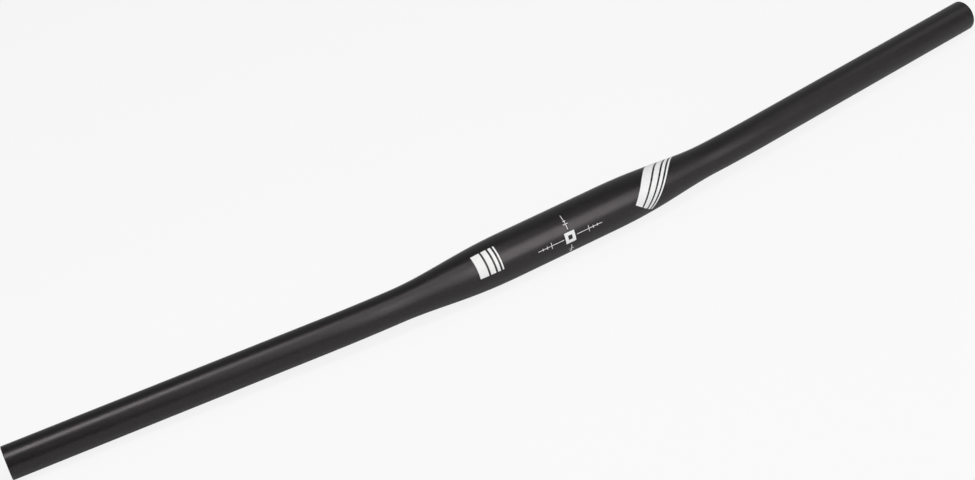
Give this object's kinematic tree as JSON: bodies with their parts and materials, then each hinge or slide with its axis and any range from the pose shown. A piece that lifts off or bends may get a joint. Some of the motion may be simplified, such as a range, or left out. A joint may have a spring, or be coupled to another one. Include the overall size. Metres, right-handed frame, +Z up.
{
  "type": "flat handlebar",
  "caption": "Flat mountain bike handlebar: a hollow black aluminium tube, thick at the stem clamp, tapered and swept back to straight grip ends.",
  "frame": {"origin": "middle of the stem clamp, on the clamp's axis", "axes": "+X along the clamp's axis to the rider's right, +Y the way the grips sweep back, +Z up, with the bar lying at rest on its clamp and both tips"},
  "size_m": [0.763, 0.0633, 0.0318],
  "materials": {
    "black_anodised": "satin black, blasted and anodised"
  },
  "bodies": {
    "root": {"handlebar": "black_anodised"}
  },
  "joints": []
}
